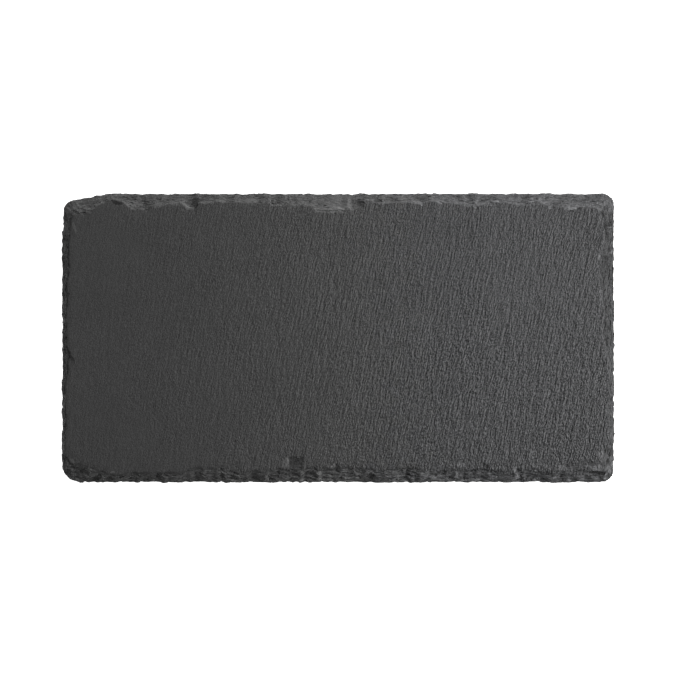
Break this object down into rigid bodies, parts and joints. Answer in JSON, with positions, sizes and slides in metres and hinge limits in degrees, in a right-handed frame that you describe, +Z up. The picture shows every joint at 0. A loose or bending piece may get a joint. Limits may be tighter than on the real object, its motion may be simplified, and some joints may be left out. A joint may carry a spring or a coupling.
{
  "type": "slate serving board",
  "caption": "Rectangular natural slate serving board with a riven face and dressed edges, on glued rubber feet.",
  "frame": {"origin": "middle of the board on the surface that the feet stand on", "axes": "+X along the length, +Y across the width towards the back edge, +Z up out of the riven serving face"},
  "size_m": [0.3007, 0.1576, 0.0078],
  "materials": {
    "slate": "natural riven slate, dry, satin",
    "adhesive": "double-sided foam adhesive, matt",
    "foot_rubber": "black rubber, fine matt texture"
  },
  "bodies": {
    "root": {"slate_slab": "slate", "adhesive_front_left": "adhesive", "adhesive_front_right": "adhesive", "adhesive_rear_left": "adhesive", "adhesive_rear_right": "adhesive", "foot_front_left": "foot_rubber", "foot_front_right": "foot_rubber", "foot_rear_left": "foot_rubber", "foot_rear_right": "foot_rubber"}
  },
  "joints": []
}
